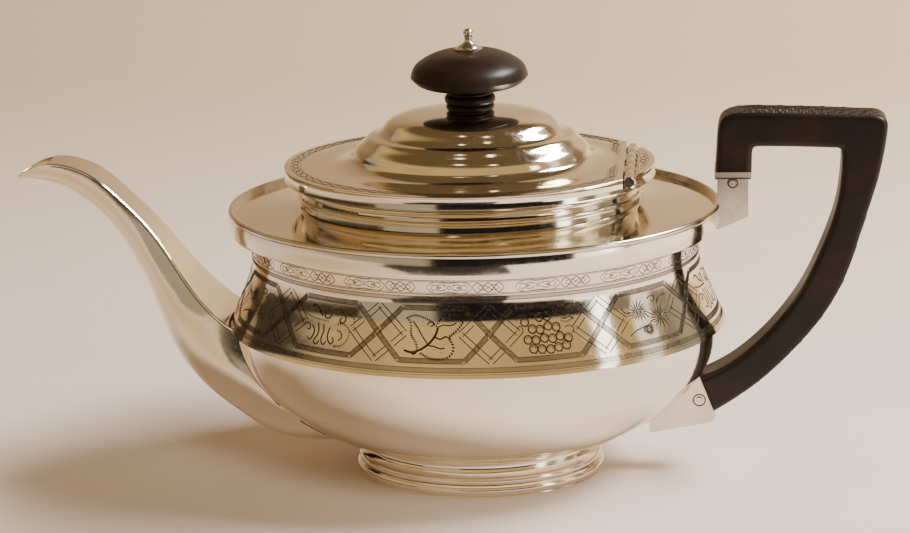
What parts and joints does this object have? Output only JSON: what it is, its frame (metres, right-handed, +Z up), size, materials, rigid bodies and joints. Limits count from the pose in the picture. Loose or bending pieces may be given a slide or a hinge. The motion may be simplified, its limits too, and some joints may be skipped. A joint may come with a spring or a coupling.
{
  "type": "silver teapot",
  "caption": "Oval silver teapot with hinged domed lid, engraved waist band, swan-neck spout, wooden loop handle and turned wooden knob.",
  "frame": {"origin": "centre of the oval foot, on the surface it stands on", "axes": "+Z up, -X towards the spout, +X towards the handle and the lid hinge, Y across the body"},
  "size_m": [0.2892, 0.127, 0.1511],
  "materials": {
    "polished_silver": "polished, with fine hairline wear",
    "ebonised_wood": "satin polish, reddish brown where worn"
  },
  "bodies": {
    "pot": {"foot_rim": "polished_silver", "foot_ring": "polished_silver", "lower_bowl": "polished_silver", "waist_band": "polished_silver", "rim_gallery": "polished_silver", "rim_wire": "polished_silver", "shoulder_plate": "polished_silver", "mouth_collar": "polished_silver", "spout_trough": "polished_silver", "spout_top_plate": "polished_silver", "hinge_plate": "polished_silver", "hinge_knuckles_fixed": "polished_silver", "hinge_pin": "polished_silver", "handle": "ebonised_wood", "upper_socket": "polished_silver", "upper_socket_band": "polished_silver", "lower_socket": "polished_silver", "upper_socket_pin": "polished_silver", "lower_socket_pin": "polished_silver"},
    "lid": {"lid_flange": "polished_silver", "lid_skirt": "polished_silver", "lid_bezel": "polished_silver", "lid_dome": "polished_silver", "hinge_knuckles_moving": "polished_silver", "knob": "ebonised_wood", "finial": "polished_silver", "knob_bolt": "polished_silver", "knob_washer": "polished_silver", "knob_nut": "polished_silver"}
  },
  "joints": [
    {"name": "lid_hinge", "type": "hinge", "parent": "pot", "child": "lid", "pos_m": [0.0525, 0, 0.1048], "axis": [0, 1, 0], "range_deg": [0, 100]}
  ]
}
